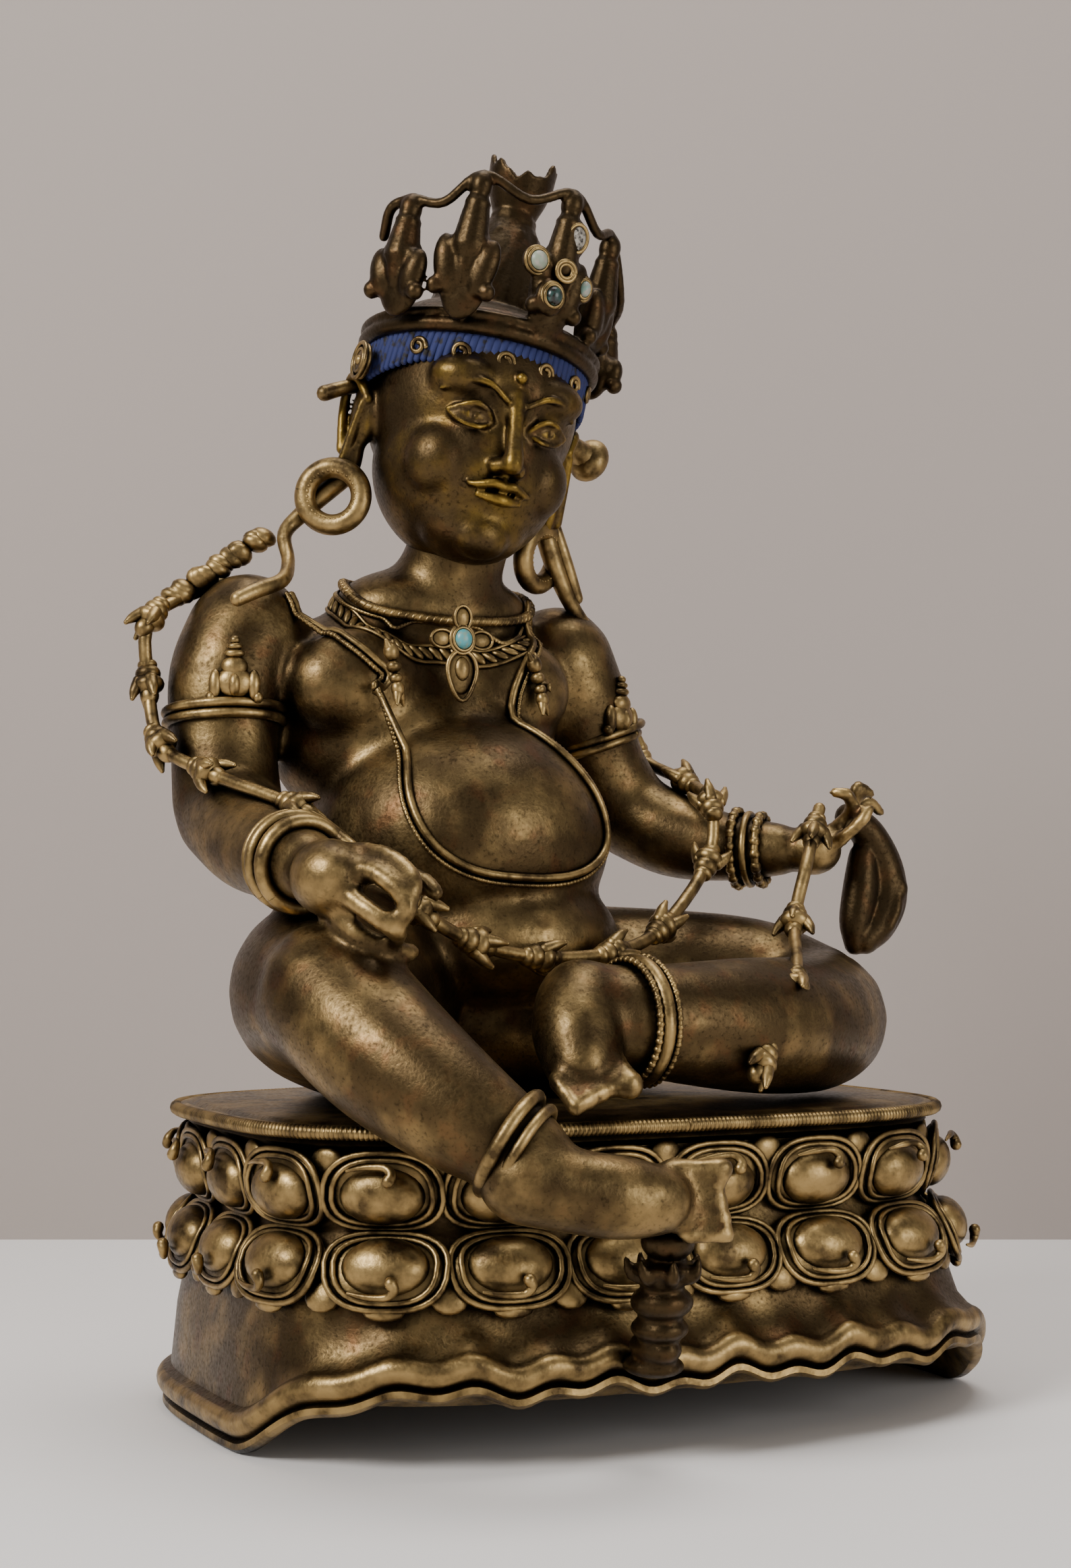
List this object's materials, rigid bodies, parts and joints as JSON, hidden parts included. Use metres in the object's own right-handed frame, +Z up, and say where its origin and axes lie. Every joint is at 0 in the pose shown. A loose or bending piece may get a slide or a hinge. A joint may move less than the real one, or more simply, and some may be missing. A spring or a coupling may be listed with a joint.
{
  "type": "seated deity statue",
  "caption": "Cast brass statue of a stout seated wealth deity with a leaf crown, blossom garland and mongoose, one leg hanging from a double lotus base.",
  "frame": {"origin": "on the floor, under the middle of the whole statue's bounding box", "axes": "+Z up, the figure faces -Y, its left hand is towards +X"},
  "size_m": [0.2434, 0.209, 0.3661],
  "materials": {
    "cast_brass": "dark brown patina with worn golden high places",
    "turquoise": "worn cabochon of turquoise",
    "pale_green_stone": "worn pale green cabochon",
    "dark_green_stone": "dark green drop cabochon",
    "pale_blue_stone": "small pale turquoise cabochon"
  },
  "bodies": {
    "root": {"statue_casting": "cast_brass", "pendant_turquoise": "turquoise", "crown_stone_pale_green": "pale_green_stone", "crown_stone_dark_green": "dark_green_stone", "crown_stone_pale_blue": "pale_blue_stone"}
  },
  "joints": []
}
